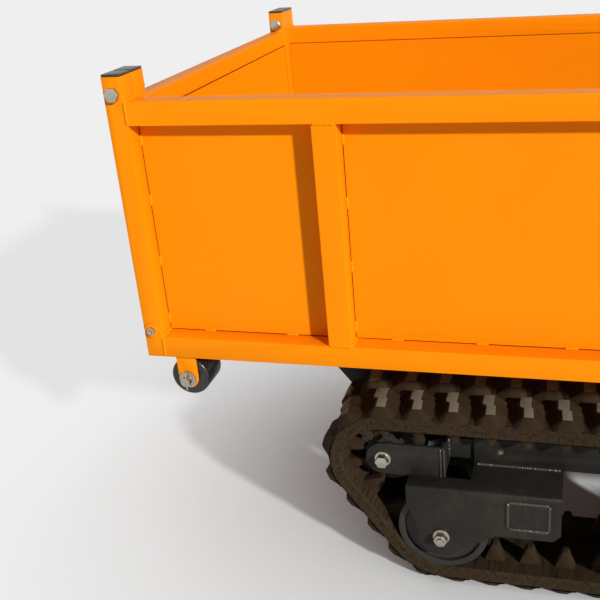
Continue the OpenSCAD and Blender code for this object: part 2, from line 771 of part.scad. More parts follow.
// Endless rubber track: carcass, two staggered rows of tread lugs and two rows of guide lugs
module track(side) {
    lug_edge = 6;
    half = track_w / 2;
    tread = carcass + lug_h;
    color(rubber) on_side(side) translate([0, track_y, 0]) {
        ring([-half, half], plain(carcass), plain(0));
        ring([lug_edge, half - lug_edge], blocks(carcass, tread, lug_l, lug_top, 0), plain(carcass / 2));
        ring([lug_edge - half, -lug_edge], blocks(carcass, tread, lug_l, lug_top, 0.5), plain(carcass / 2));
        for (y = [guide_y, -guide_y - guide_w])
            ring([y, y + guide_w], plain(carcass / 2), blocks(0, -guide_h, guide_l, guide_top, 0));
    }
}

module left_track() { track(1); }
module right_track() { track(-1); }

// Cast gearbox under the rails, bored for both sprocket shafts and for the input shaft
module gearbox() {
    low = sprocket_z - 72;
    color(black) difference() {
        union() {
            box([input_x - 70, sprocket_x + 28], [-gearbox_y + 12, gearbox_y - 12], [low, rail_z]);
            both_sides() rod_y(sprocket_x, sprocket_z, 1.6 * shaft_d, gearbox_y - 13, gearbox_y);
            rod_y(input_x, input_z, 2.4 * input_d, -gearbox_y, -gearbox_y + 13);
        }
        both_sides() rod_y(sprocket_x, sprocket_z, shaft_d + 2 * run_clear, gearbox_y - 52,
                           gearbox_y + over);
        rod_y(input_x, input_z, input_d + 2 * run_clear, -gearbox_y - over, -gearbox_y + 42);
    }
}

groove_w = pulley_w - 8;

// Grooved pulley with its shaft, which runs from y0 out to the pulley on the right side
module pulley(x, z, r, d, y0) {
    floor_r = r - v_belt_t - belt_gap;
    half = pulley_w / 2;
    color(zinc) on_side(-1) {
        translate([x, pulley_y + half, z]) rotate([-90, 0, 0]) rotate_extrude()
            polygon([[0, -half], [r + 2, -half], [r + 2, -groove_w / 2], [floor_r, -groove_w / 2],
                [floor_r, groove_w / 2], [r + 2, groove_w / 2], [r + 2, half], [0, half]]);
        rod_y(x, z, d, y0, pulley_y + over);
    }
}

module gearbox_pulley() { pulley(input_x, input_z, input_r, input_d, gearbox_y - 40); }
module engine_pulley() { pulley(crank_x, crank_z, engine_r, crank_d, block_y - 40); }

module round_pulleys(grow) {
    hull() {
        translate([input_x, input_z]) circle(r = input_r + grow, $fn = 64);
        translate([crank_x, crank_z]) circle(r = engine_r + grow, $fn = 64);
    }
}

module drive_belt() {
    mid = -pulley_y - pulley_w / 2;
    half = groove_w / 2 - side_gap / 2;
    color(rubber) plate_xz(mid - half, mid + half) difference() {
        round_pulleys(0);
        round_pulleys(-v_belt_t);
    }
}

// Pressed cover over the belt drive, open towards the machine
module belt_guard() {
    out = -pulley_y - pulley_w - 8;
    color(black) {
        plate_xz(out, out + 3) round_pulleys(11);
        plate_xz(out + 2, -block_y) difference() {
            round_pulleys(11);
            round_pulleys(8);
        }
    }
}

block_y = pulley_y - 16;
block_h = 210;

// Engine: crankcase on the deck and a finned cylinder that leans forward
module engine_block() {
    case_z = [deck_z, deck_z + 175];
    color("gray") difference() {
        union() {
            box([crank_x - 95, crank_x + 80], [-block_y + 20, 60], case_z);
            rod_y(crank_x, crank_z, 120, -block_y, -block_y + 21);
            box([crank_x - 60, crank_x + 60], [-70, 60], [case_z[1] - over, deck_z + block_h]);
            for (k = [0:4]) box([crank_x + 79, crank_x + 130], [-75, 35],
                [deck_z + 60 + 20 * k, deck_z + 68 + 20 * k]);
            box([crank_x + 79, crank_x + 125], [-60, 20], [deck_z + 60, deck_z + 148]);
        }
        rod_y(crank_x, crank_z, crank_d + 2 * run_clear, -block_y - over, -block_y + 42);
    }
}

// Fan housing on the left with the starter's cup and grip
module engine_cowl() {
    color(black) {
        rod_y(crank_x, crank_z, 205, 60, 112);
        rod_y(crank_x, crank_z, 150, 111, 134);
        rod_y(crank_x, crank_z, 90, 133, 140);
        box([crank_x + 50, crank_x + 84], [110, 140], [crank_z + 52, crank_z + 66]);
    }
}

tank_z = deck_z + block_h;
tank_h = 92;
tank_x = crank_x - 10;
neck_h = 10;
neck_d = 52;
cap_stem_d = 36;

module fuel_tank() {
    top = tank_z + tank_h;
    color(black) difference() {
        union() {
            box([tank_x - 125, tank_x + 85], [-100, 100], [tank_z, top]);
            translate([tank_x + 40, -40, top - over]) cylinder(d = neck_d, h = neck_h + over);
        }
        translate([tank_x + 40, -40, top - 30])
            cylinder(d = cap_stem_d + 2 * run_clear, h = 30 + neck_h + over);
    }
}

module fuel_cap() {
    seat = tank_z + tank_h + neck_h + end_gap;
    color(black) translate([tank_x + 40, -40, 0]) {
        translate([0, 0, seat - 25]) cylinder(d = cap_stem_d, h = 26);
        translate([0, 0, seat]) cylinder(d = neck_d + 14, h = 16);
        translate([0, 0, seat + 15]) intersection() {
            cylinder(d = neck_d + 6, h = 10);
            translate([-neck_d, -6, 0]) cube([2 * neck_d, 12, 10]);
        }
    }
}

module muffler() {
    color("gray") {
        box([crank_x - 175, crank_x - 115], [-80, 80], [deck_z + 70, deck_z + 180]);
        translate([crank_x - 116, -20, deck_z + 125]) rotate([0, 90, 0]) cylinder(d = 34, h = 21);
        translate([crank_x - 194, 50, deck_z + 150]) rotate([0, 90, 0]) cylinder(d = 24, h = 20);
    }
}

module air_cleaner() {
    color(black) {
        box([crank_x + 80, crank_x + 160], [25, 125], [deck_z + 176, deck_z + block_h + 60]);
        translate([crank_x + 60, 42, deck_z + 193]) rotate([0, 90, 0]) cylinder(d = 28, h = 21);
    }
}

bar_back = -overall_l / 2;
bar_bend = bar_back + 200;
bar_foot = rails_back + 30;
bar_foot_y = deck_y - bar_d / 2 - 3;
dash_z = grip_z - 74;
dash_t = 4;
lever_x = bar_back + 154;
lever_drop = bar_d / 2 + 14;
cheek_t = 6;
gear_x = bar_bend + 12;
gear_z = dash_z - 20;

module strut(a, b, d) {
    v = b - a;
    translate(a) rotate([0, acos(v[2] / norm(v)), atan2(v[1], v[0])]) cylinder(d = d, h = norm(v));
}

// Cheek welded to the handlebar with the stud that a lever turns on
module lever_stud(y, z) {
    face = y + lever_t / 2 + end_gap;
    box([lever_x - 9, lever_x + 9], [face, face + cheek_t], [min(z, grip_z), max(z, grip_z)]);
    rod_y(lever_x, z, 18, face, face + cheek_t);
    rod_y(lever_x, z, lever_pin_d, y - lever_t / 2 - 2, face + over);
}

// Bent tube from the deck to the grips, with the dash plate and the studs of the levers
module handlebar() {
    color(black) difference() {
        union() {
            both_sides() {
                box([bar_foot - 24, bar_foot + 24], [bar_foot_y - 17, bar_foot_y + 17], [deck_z, deck_z + 6]);
                strut([bar_foot, bar_foot_y, deck_z + 5], [bar_bend, grip_y, grip_z], bar_d);
                translate([bar_bend, grip_y, grip_z]) sphere(d = bar_d + 1);
                strut([bar_bend, grip_y, grip_z], [bar_back + 4, grip_y, grip_z], bar_d);
                lever_stud(grip_y, grip_z - lever_drop);
            }
            lever_stud(grip_y, grip_z + lever_drop);
            lever_stud(-grip_y, grip_z + lever_drop);
            box([bar_bend - 25, bar_bend + 45], [4 - grip_y, grip_y - 4], [dash_z, dash_z + dash_t]);
            box([gear_x - 10, gear_x + 10], [lever_t / 2 + end_gap, lever_t / 2 + end_gap + cheek_t],
                [gear_z - 10, dash_z + over]);
            rod_y(gear_x, gear_z, lever_pin_d, -lever_t / 2 - 2, lever_t / 2 + end_gap + over);
        }
        box([gear_x - 20, gear_x + 20], [-lever_t, lever_t / 2 + end_gap],
            [dash_z - over, dash_z + dash_t + over]);
    }
}

module hand_grips() {
    color(rubber) both_sides() difference() {
        strut([bar_back + grip_l, grip_y, grip_z], [bar_back, grip_y, grip_z], grip_d);
        strut([bar_back + grip_l + over, grip_y, grip_z], [bar_back + 4, grip_y, grip_z], bar_d);
    }
}

// Flat lever with an eye at its stud: the bar runs along the points, seen from the left
module flat_lever(y, z, points) {
    color(black) difference() {
        union() {
            rod_y(lever_x, z, 18, y - lever_t / 2, y + lever_t / 2);
            plate_xz(y - lever_t / 2, y + lever_t / 2) translate([lever_x, z]) polygon(points);
        }
        rod_y(lever_x, z, lever_pin_d + 2 * run_clear, y - lever_t, y + lever_t);
    }
}

squeeze_bar = [[2, -8], [-20, -13], [-138, -30], [-138, -19], [-18, 0], [0, 8]];
module left_steering_lever() { flat_lever(grip_y, grip_z - lever_drop, squeeze_bar); }
module right_steering_lever() { flat_lever(-grip_y, grip_z - lever_drop, squeeze_bar); }
module drive_lever() { flat_lever(grip_y, grip_z + lever_drop, [for (p = squeeze_bar) [p[0], -p[1]]]); }
module throttle_lever() {
    flat_lever(-grip_y, grip_z + lever_drop, [[-8, 0], [8, 0], [7, 48], [-1, 58], [-9, 48]]);
}

module gear_lever() {
    color(black) difference() {
        union() {
            rod_y(gear_x, gear_z, 20, -lever_t / 2, lever_t / 2);
            translate([gear_x, 0, gear_z]) cylinder(d = lever_t - 1, h = 130);
            translate([gear_x, 0, gear_z + 140]) sphere(d = 36);
        }
        rod_y(gear_x, gear_z, lever_pin_d + 2 * run_clear, -lever_t, lever_t);
    }
}

left_side_frame();
right_side_frame();
tray_panels();
rear_wall();
tray_floor();
floor_bearers();
tray_fittings();
post_caps();
gate_hinge_bolts();
clamp_screws();
roller_brackets();
roller_pins();
left_tip_roller();
right_tip_roller();
gate_frame();
gate_panel();
gate_caps();
chassis_rails();
cross_tubes();
hinge_towers();
hinge_pins();
bump_stops();
engine_deck();
tip_latch();
track_beams();
beam_bolts();
wheel_brackets();
wheel_axles();
left_yoke();
right_yoke();
left_idler();
right_idler();
left_wheel_1();
left_wheel_2();
left_wheel_3();
right_wheel_1();
right_wheel_2();
right_wheel_3();
left_sprocket();
right_sprocket();
left_track();
right_track();
gearbox();
gearbox_pulley();
engine_pulley();
drive_belt();
belt_guard();
engine_block();
engine_cowl();
fuel_tank();
fuel_cap();
muffler();
air_cleaner();
handlebar();
hand_grips();
left_steering_lever();
right_steering_lever();
drive_lever();
throttle_lever();
gear_lever();
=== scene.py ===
import json
import math
import random

import bpy
from mathutils import Matrix, Vector

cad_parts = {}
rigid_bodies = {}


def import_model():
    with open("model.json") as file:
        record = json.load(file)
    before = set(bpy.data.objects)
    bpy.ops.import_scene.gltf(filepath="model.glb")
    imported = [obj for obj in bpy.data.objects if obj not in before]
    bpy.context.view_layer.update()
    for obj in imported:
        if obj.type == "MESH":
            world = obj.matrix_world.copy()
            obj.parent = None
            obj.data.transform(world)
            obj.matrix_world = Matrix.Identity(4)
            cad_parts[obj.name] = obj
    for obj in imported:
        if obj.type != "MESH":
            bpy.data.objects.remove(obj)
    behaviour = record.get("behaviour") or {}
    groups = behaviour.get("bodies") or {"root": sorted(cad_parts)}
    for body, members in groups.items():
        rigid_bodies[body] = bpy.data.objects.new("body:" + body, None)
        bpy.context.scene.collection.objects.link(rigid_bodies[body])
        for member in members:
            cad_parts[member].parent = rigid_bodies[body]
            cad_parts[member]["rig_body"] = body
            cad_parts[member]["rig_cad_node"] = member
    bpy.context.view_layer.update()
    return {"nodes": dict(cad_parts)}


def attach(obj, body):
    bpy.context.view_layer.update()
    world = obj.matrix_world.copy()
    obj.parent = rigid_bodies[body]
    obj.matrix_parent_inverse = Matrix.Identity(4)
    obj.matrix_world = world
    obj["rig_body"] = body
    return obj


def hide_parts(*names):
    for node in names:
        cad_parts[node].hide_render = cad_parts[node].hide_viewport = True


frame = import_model()

# Studio: a pale floor under a white sky, one sun low behind the machine on its left, and the camera
# beside the front half of the tray, looking down on it and rolled a little, as a hand-held one is.
scene = bpy.context.scene


class Tone:
    """A shader socket that can be added to, taken from and multiplied like a number."""

    def __init__(self, tree, socket):
        self.tree = tree
        self.socket = socket

    def make(self, kind, inputs, output=0, **settings):
        node = self.tree.nodes.new(kind)
        for key, value in settings.items():
            setattr(node, key, value)
        for key, value in inputs.items():
            if isinstance(value, Tone):
                self.tree.links.new(value.socket, node.inputs[key])
            else:
                node.inputs[key].default_value = value
        return Tone(self.tree, node.outputs[output])

    def math(self, operation, first, second):
        return self.make("ShaderNodeMath", {0: first, 1: second}, operation=operation)

    def __add__(self, other):
        return self.math("ADD", self, other)

    def __radd__(self, other):
        return self.math("ADD", other, self)

    def __sub__(self, other):
        return self.math("SUBTRACT", self, other)

    def __rsub__(self, other):
        return self.math("SUBTRACT", other, self)

    def __mul__(self, other):
        return self.math("MULTIPLY", self, other)

    def __rmul__(self, other):
        return self.math("MULTIPLY", other, self)

    def between(self, low, high):
        inputs = {"Value": self, "From Min": low, "From Max": high}
        return self.make("ShaderNodeMapRange", inputs, interpolation_type="SMOOTHSTEP")

    def noise(self, scale, detail=4.0, rough=0.5):
        inputs = {"Vector": self, "Scale": scale, "Detail": detail, "Roughness": rough}
        return self.make("ShaderNodeTexNoise", inputs)

    def mix(self, first, second):
        inputs = {0: self, 6: first, 7: second}
        return self.make("ShaderNodeMix", inputs, output=2, data_type="RGBA")

    def stretch(self, x, y, z):
        inputs = {0: self, 1: (x, y, z)}
        return self.make("ShaderNodeVectorMath", inputs, operation="MULTIPLY")

    def bump(self, depth):
        return self.make("ShaderNodeBump", {"Height": self, "Distance": depth})


def seen(tree, share):
    """A share for what the camera, mirrors and glass see, and none for the light on things."""
    path = tree.nodes.new("ShaderNodeLightPath")
    camera_ray, mirror_ray, glass_ray = (Tone(tree, path.outputs[kind]) for kind in (
        "Is Camera Ray", "Is Glossy Ray", "Is Transmission Ray"))
    return (camera_ray + mirror_ray + glass_ray) * share


bpy.ops.object.select_all(action="DESELECT")
bpy.ops.mesh.primitive_plane_add(size=60)
floor = bpy.context.object
floor.name = "studio_floor"
floor_look = bpy.data.materials.new("studio_floor")
floor_look.use_nodes = True
floor_shader = floor_look.node_tree.nodes["Principled BSDF"]
floor_shader.inputs["Base Color"].default_value = (0.66, 0.66, 0.65, 1)
floor_shader.inputs["Roughness"].default_value = 0.9
floor_shader.inputs["Specular IOR Level"].default_value = 0.1
floor_shader.inputs["Emission Strength"].default_value = 0.1
floor_share = 0.72
floor_nodes = floor_look.node_tree.nodes
# Painted shade on the floor: ambient occlusion dims the floor's glow and its white share under and
# beside the machine.
under_cover = floor_nodes.new("ShaderNodeAmbientOcclusion")
under_cover.samples = 8
under_cover.inputs["Distance"].default_value = 0.7
openness = Tone(floor_look.node_tree, under_cover.outputs["AO"])
openness = openness * openness
floor_white = floor_nodes.new("ShaderNodeEmission")
floor_white.inputs["Color"].default_value = (0.98, 0.98, 0.98, 1)
floor_split = floor_nodes.new("ShaderNodeMixShader")
floor_links = floor_look.node_tree.links
floor_links.new(openness.socket, floor_shader.inputs["Emission Color"])
floor_links.new((seen(floor_look.node_tree, floor_share) * openness).socket, floor_split.inputs["Fac"])
floor_links.new(floor_shader.outputs["BSDF"], floor_split.inputs[1])
floor_links.new(floor_white.outputs["Emission"], floor_split.inputs[2])
floor_links.new(floor_split.outputs["Shader"], floor_nodes["Material Output"].inputs["Surface"])
floor.data.materials.append(floor_look)

sky = bpy.data.worlds.new("studio_sky")
sky.use_nodes = True
sky_nodes = sky.node_tree.nodes
sky_light = sky_nodes["Background"]
sky_light.inputs["Color"].default_value = (1, 1, 1, 1)
sky_light.inputs["Strength"].default_value = 0.18
sky_seen = sky_nodes.new("ShaderNodeBackground")
sky_seen.inputs["Color"].default_value = (0.95, 0.95, 0.95, 1)
sky_split = sky_nodes.new("ShaderNodeMixShader")
sky_links = sky.node_tree.links
sky_links.new(seen(sky.node_tree, 1.0).socket, sky_split.inputs["Fac"])
sky_links.new(sky_light.outputs["Background"], sky_split.inputs[1])
sky_links.new(sky_seen.outputs["Background"], sky_split.inputs[2])
sky_links.new(sky_split.outputs["Shader"], sky_nodes["World Output"].inputs["Surface"])
scene.world = sky

key_from = Vector((-0.70, 0.58, 0.41))
key_data = bpy.data.lights.new("key_light", "SUN")
key_data.energy = 3.8
key_data.angle = math.radians(3)
key_light = bpy.data.objects.new("key_light", key_data)
key_light.rotation_euler = (-key_from).to_track_quat("-Z", "Y").to_euler()
scene.collection.objects.link(key_light)

camera_data = bpy.data.cameras.new("camera")
camera_data.sensor_width = 36
camera_data.lens = 54
camera_data.shift_x = -0.0767
camera_data.clip_start = 0.02
camera = bpy.data.objects.new("camera", camera_data)
camera_at = Vector((0.2661, 1.5926, 1.0967))
camera_gaze = Vector((0.2542, -0.8805, -0.4001))
camera_roll = math.radians(-4.25)
camera.matrix_world = (Matrix.Translation(camera_at)
                       @ camera_gaze.to_track_quat("-Z", "Y").to_matrix().to_4x4()
                       @ Matrix.Rotation(camera_roll, 4, "Z"))
scene.collection.objects.link(camera)
scene.camera = camera
scene.view_settings.view_transform = "Standard"


# Side frames: square steel tube, cut square and welded at every joint. The orange paint is satin
# with a faint peel, and a little dust gathers towards the bottom of the machine.
def finish_of(name, colour, rough, dust, dust_colour, metal=0.0, shine=0.5, grain=0.0002, scale=260,
              mottle=0.85, streaks=0):
    """A paint, rubber or metal: two tones, dust in patches, uneven gloss and a fine grain."""
    look = bpy.data.materials.new(name)
    look.use_nodes = True
    tree = look.node_tree
    shader = tree.nodes["Principled BSDF"]
    place = Tone(tree, tree.nodes.new("ShaderNodeTexCoord").outputs["Object"])
    height = place.make("ShaderNodeSeparateXYZ", {0: place}, output=2)
    cloud = place.noise(9, detail=5, rough=0.6)
    speck = place.noise(70, detail=6, rough=0.65)
    settled = (1 - height.between(0.05, 0.9)) * 0.6 + 0.4
    dusty = (cloud * 0.6 + speck * 0.4).between(0.42, 0.72) * settled * dust
    shade = tuple(mottle * value for value in colour)
    tone = place.noise(5, detail=3).between(0.3, 0.7).mix((*shade, 1), (*colour, 1))
    tone = dusty.mix(tone, (*dust_colour, 1))
    if streaks:
        flat = Tone(tree, tree.nodes.new("ShaderNodeTexCoord").outputs["UV"])
        scratch = flat.stretch(streaks, 14, 0).noise(1, detail=3, rough=0.6).between(0.34, 0.56)
        scratched = tuple(0.45 * value for value in colour)
        tone = scratch.mix((*scratched, 1), tone)
    gloss = (speck - 0.5) * 0.16 + dusty * 0.35 + rough
    peel = place.noise(scale, detail=2).bump(grain)
    tree.links.new(tone.socket, shader.inputs["Base Color"])
    tree.links.new(gloss.socket, shader.inputs["Roughness"])
    tree.links.new(peel.socket, shader.inputs["Normal"])
    shader.inputs["Metallic"].default_value = metal
    shader.inputs["Specular IOR Level"].default_value = shine
    return look


def dress(node, look, edge, steps=2, angle=40, bends=None, bend_radius=0):
    """Puts a copy of a CAD node in its place, with its sharp edges rounded and its folds bent."""
    merge_within = 0.00002
    flat_within = math.radians(0.6)
    source = frame["nodes"][node]
    piece = source.copy()
    piece.data = source.data.copy()
    piece.name = node + "_finish"
    del piece["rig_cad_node"]
    scene.collection.objects.link(piece)
    bpy.ops.object.select_all(action="DESELECT")
    piece.select_set(True)
    bpy.context.view_layer.objects.active = piece
    bpy.ops.mesh.customdata_custom_splitnormals_clear()
    bpy.ops.object.mode_set(mode="EDIT")
    bpy.ops.mesh.select_all(action="SELECT")
    bpy.ops.mesh.remove_doubles(threshold=merge_within)
    bpy.ops.mesh.dissolve_limited(angle_limit=flat_within)
    if bends:
        bpy.ops.mesh.select_mode(type="EDGE")
        bpy.ops.mesh.select_all(action="DESELECT")
        bpy.ops.object.mode_set(mode="OBJECT")
        for line in piece.data.edges:
            ends = [piece.data.vertices[index].co for index in line.vertices]
            line.select = bends(*ends)
        bpy.ops.object.mode_set(mode="EDIT")
        bpy.ops.mesh.bevel(offset=bend_radius, segments=4)
        bpy.ops.mesh.select_mode(type="VERT")
    bpy.ops.object.mode_set(mode="OBJECT")
    if edge:
        rounding = piece.modifiers.new("rounding", "BEVEL")
        rounding.width = edge
        rounding.segments = steps
        rounding.limit_method = "ANGLE"
        rounding.angle_limit = math.radians(30)
        rounding.use_clamp_overlap = True
        bpy.ops.object.modifier_apply(modifier=rounding.name)
    bpy.ops.object.shade_smooth_by_angle(angle=math.radians(angle))
    piece.data.materials.clear()
    piece.data.materials.append(look)
    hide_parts(node)
    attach(piece, source["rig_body"])
    return piece


dust_brown = (0.20, 0.155, 0.10)
orange = finish_of("orange_paint", (0.97, 0.272, 0.0015), 0.42, 0.04, dust_brown, shine=0.05,
                   grain=0.00012, mottle=0.96)
tube_corner = 0.0045
dress("left_side_frame", orange, tube_corner, 3)
dress("right_side_frame", orange, tube_corner, 3)


def bead(start, end, size, seed):
    """One run of weld metal: a ripple of puddles from start to end, round at both ends."""
    ring_gap = 0.28 * size
    start = Vector(start)
    run = Vector(end) - start
    length = run.length
    rings = max(6, int(length / ring_gap))
    bpy.ops.object.select_all(action="DESELECT")
    bpy.ops.mesh.primitive_grid_add(x_subdivisions=rings, y_subdivisions=8, size=1)
    piece = bpy.context.object
    wobble = random.Random(seed)
    turn = run.normalized().to_track_quat("X", "Z")
    drift = [(wobble.uniform(-0.1, 0.1), wobble.uniform(0.9, 1.08)) for _ in range(rings + 2)]
    for vertex in piece.data.vertices:
        along = vertex.co.x + 0.5
        ring = round(along * rings)
        around = (vertex.co.y + 0.5) * 2 * math.pi
        puddle = 0.86 + 0.14 * abs(math.sin(ring * 0.9))
        taper = min(1.0, math.sqrt(max(0.0, min(along, 1 - along)) * length / size + 0.004))
        radius = size * puddle * taper * drift[ring][1]
        side = math.cos(around) * radius + drift[ring][0] * size
        vertex.co = start + run * along + turn @ Vector((0, side, math.sin(around) * radius))
    bpy.ops.object.mode_set(mode="EDIT")
    bpy.ops.mesh.select_all(action="SELECT")
    bpy.ops.mesh.remove_doubles(threshold=size * 0.02)
    bpy.ops.mesh.normals_make_consistent(inside=False)
    bpy.ops.object.mode_set(mode="OBJECT")
    bpy.ops.object.shade_smooth()
    return piece


def fuse(name, pieces, look, body):
    """Joins small pieces of one material into one, and lets it ride on a body."""
    bpy.ops.object.select_all(action="DESELECT")
    for piece in pieces:
        piece.select_set(True)
    bpy.context.view_layer.objects.active = pieces[0]
    bpy.ops.object.join()
    joined = bpy.context.object
    joined.name = name
    joined.data.materials.clear()
    joined.data.materials.append(look)
    bpy.ops.object.transform_apply(location=True, rotation=True, scale=True)
    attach(joined, body)
    return joined


tube = 0.035
side_out = 0.410
side_in = side_out - tube
tray_low = 0.445
rail_top = 0.859
panel_low = tray_low + tube
panel_high = rail_top - tube
post_back = 0.920
tray_rear = -0.260
stakes = (0.605, 0.050)
weld_inset = 0.001
post_weld = 0.0036
stake_weld = 0.0034
face_weld = 0.0026
frame_welds = []
for side in (1, -1):
    out = side * (side_out - weld_inset)
    inside = side * (side_in + weld_inset)
    seed = 3 if side > 0 else 400
    for level in (rail_top, panel_high, panel_low):
        frame_welds.append(bead((post_back, inside, level), (post_back, out, level), post_weld, seed))
        seed += 1
    for top, low in ((rail_top, panel_high), (panel_low, tray_low)):
        for face in (out, inside):
            frame_welds.append(bead((post_back, face, top), (post_back, face, low), face_weld, seed))
            seed += 1
    for stake in stakes:
        for x in (stake, stake + tube):
            for level in (panel_high, panel_low):
                frame_welds.append(bead((x, inside, level), (x, out, level), stake_weld, seed))
                seed += 1
        for level in (panel_high, panel_low):
            frame_welds.append(bead((stake, out, level), (stake + tube, out, level), face_weld, seed))
            seed += 1
fuse("frame_welds", frame_welds, orange, "tray")


# Panels, rear wall and floor: flat steel sheet set into the frames with a dark hair-line seam of
# painted shadow round its outer edge, held by short weld stitches. The floor lies on wide bearers.
rear_in = tray_rear + tube
bays = ((stakes[0] + tube, post_back), (stakes[1] + tube, stakes[0]), (rear_in, stakes[1]))
panel_thick = 0.002
tuck = 0.0025
at_edge = 0.0006


def tuck_in(value, limits):
    """Moves a sheet's edge a little way behind the rounded corner of the tube that it meets."""
    for limit, away in limits:
        if abs(value - limit) < at_edge:
            return value + math.copysign(tuck, away)
    return value


sheet_edge = 0.0004
panels = dress("tray_panels", orange, sheet_edge, 1)
level_limits = ((panel_low, -1), (panel_high, 1))
side_limits = tuple((x, away) for bay in bays for x, away in zip(bay, (-1, 1)))
rear_limits = ((tube / 2, -1), (-tube / 2, 1), (side_in, 1), (-side_in, -1))
for vertex in panels.data.vertices:
    at_side = abs(vertex.co.y) > side_in - at_edge
    at_rear = vertex.co.x < rear_in + at_edge
    if at_side:
        vertex.co.x = tuck_in(vertex.co.x, side_limits)
    if at_rear:
        vertex.co.y = tuck_in(vertex.co.y, rear_limits)
    vertex.co.z = tuck_in(vertex.co.z, level_limits)
dress("rear_wall", orange, tube_corner, 3)
dress("tray_floor", orange, 0.0006, 1)
dress("floor_bearers", orange, 0.003, 2)
dress("tray_fittings", orange, 0.002, 2)
stitch_face = side_in + 0.0022
stitch_rows = (0.50, 0.60, 0.70, 0.795)
stitch_pitch = 0.12
upright_half = 0.009
upright_weld = 0.0030
level_half = 0.010
level_weld = 0.0028
stitches = []
seed = 900
for side in (1, -1):
    y = side * stitch_face
    for low, high in bays:
        for x in (low + weld_inset, high - weld_inset):
            for z in stitch_rows:
                start = (x, y, z - upright_half)
                end = (x, y, z + upright_half)
                stitches.append(bead(start, end, upright_weld, seed))
                seed += 1
        columns = max(2, round((high - low) / stitch_pitch))
        for step in range(columns):
            x = low + (high - low) * (step + 0.5) / columns
            for z in (panel_low + weld_inset, panel_high - weld_inset):
                stitches.append(bead((x - level_half, y, z), (x + level_half, y, z), level_weld, seed))
                seed += 1
fuse("panel_stitches", stitches, orange, "tray")


def strip(low, high):
    """A flat bar between two corners, with its sharp edges taken off."""
    sharp = 0.0001
    middle = (Vector(low) + Vector(high)) / 2
    bpy.ops.object.select_all(action="DESELECT")
    bpy.ops.mesh.primitive_cube_add(size=1, location=middle)
    piece = bpy.context.object
    piece.scale = [abs(b - a) for a, b in zip(low, high)]
    bpy.ops.object.transform_apply(location=True, rotation=True, scale=True)
    bpy.ops.object.mode_set(mode="EDIT")
    bpy.ops.mesh.select_all(action="SELECT")
    bpy.ops.mesh.bevel(offset=sharp, segments=1)
    bpy.ops.object.mode_set(mode="OBJECT")
    return piece


# Painted shadow: thin dark strips round each panel's outer edge stand for the shade in the hair-line
# gap.
shadow_paint = finish_of("seam_shadow", (0.16, 0.035, 0.001), 0.7, 0.2, (0.06, 0.035, 0.015),
                         shine=0.05)
proud = 0.0003
seam_width = 0.0013
seams = []
for side in (1, -1):
    face = side * (side_in + panel_thick)
    out = face + side * proud
    for low, high in bays:
        for x in (low, high - seam_width):
            seams.append(strip((x, face, panel_low), (x + seam_width, out, panel_high)))
        for z in (panel_low, panel_high - seam_width):
            seams.append(strip((low, face, z), (high, out, z + seam_width)))
    near, far = side * tube / 2, side * side_in
    face = rear_in - panel_thick
    out = face - proud
    for y in (near, far - side * seam_width):
        seams.append(strip((face, y, panel_low), (out, y + side * seam_width, panel_high)))
    for z in (panel_low, panel_high - seam_width):
        seams.append(strip((face, near, z), (out, far, z + seam_width)))
fuse("panel_seam_shadows", seams, shadow_paint, "tray")


# Lining: the inside of each wall is one smooth sheet over the stakes, painted with the frame, so
# that only a soft brown line of painted shade shows where it meets the rails and the posts.
# Painted shade: mid-brown strips stand for the shade in the groove where the lining meets the rails
# and posts.
lining_shade_paint = finish_of("lining_shade_line", (0.34, 0.080, 0.001), 0.7, 0.1, (0.12, 0.06, 0.02), shine=0.05)
lining_reach = 0.002
lining_low, lining_high = panel_low - lining_reach, panel_high + lining_reach
lining_rear, lining_front = rear_in - lining_reach, post_back + lining_reach
lining_shade_line = 0.0017
lining = []
lining_shade_lines = []
for side in (1, -1):
    face = side * (side_in + panel_thick / 2)
    inner = side * (side_in - proud)
    line = inner - side * proud / 2
    lining.append(strip((lining_rear, face, lining_low), (lining_front, inner, lining_high)))
    for x in (lining_rear, lining_front - lining_shade_line):
        lining_shade_lines.append(strip((x, inner, lining_low), (x + lining_shade_line, line, lining_high)))
    for z in (lining_low, lining_high - lining_shade_line):
        lining_shade_lines.append(strip((lining_rear, inner, z), (lining_front, line, z + lining_shade_line)))
face = rear_in - panel_thick / 2
inner = rear_in + proud
line = inner + proud / 2
lining.append(strip((face, -side_in, lining_low), (inner, side_in, lining_high)))
for z in (lining_low, lining_high - lining_shade_line):
    lining_shade_lines.append(strip((inner, -side_in, z), (line, side_in, z + lining_shade_line)))
fuse("tray_lining", lining, orange, "tray")
fuse("lining_shade_lines", lining_shade_lines, lining_shade_paint, "tray")


# Front gate: a welded frame of slightly smaller tube that hangs on two bolts through its upper ends
# and closes between the posts, with a flat sheet on its inner side.
gate_tube = 0.030
gate_front = 0.950
gate_in = 0.337
gate_top = 0.855
gate_low = 0.449
gate_levels = (gate_top, gate_top - gate_tube, gate_low + gate_tube, gate_low)
dress("gate_frame", orange, tube_corner, 3)
gate_panel = dress("gate_panel", orange, sheet_edge, 1)
for vertex in gate_panel.data.vertices:
    vertex.co.y = tuck_in(vertex.co.y, ((gate_in, 1), (-gate_in, -1)))
    vertex.co.z = tuck_in(vertex.co.z, ((gate_levels[2], -1), (gate_levels[1], 1)))
gate_welds = []
for side in (1, -1):
    y = side * gate_in
    for level in gate_levels:
        start = (post_back + weld_inset, y, level)
        end = (gate_front - weld_inset, y, level)
        gate_welds.append(bead(start, end, stake_weld, seed))
        seed += 1
    for top, low in (gate_levels[:2], gate_levels[2:]):
        gate_welds.append(bead((post_back, y, top), (post_back, y, low), level_weld, seed))
        seed += 1
fuse("gate_welds", gate_welds, orange, "front_gate")


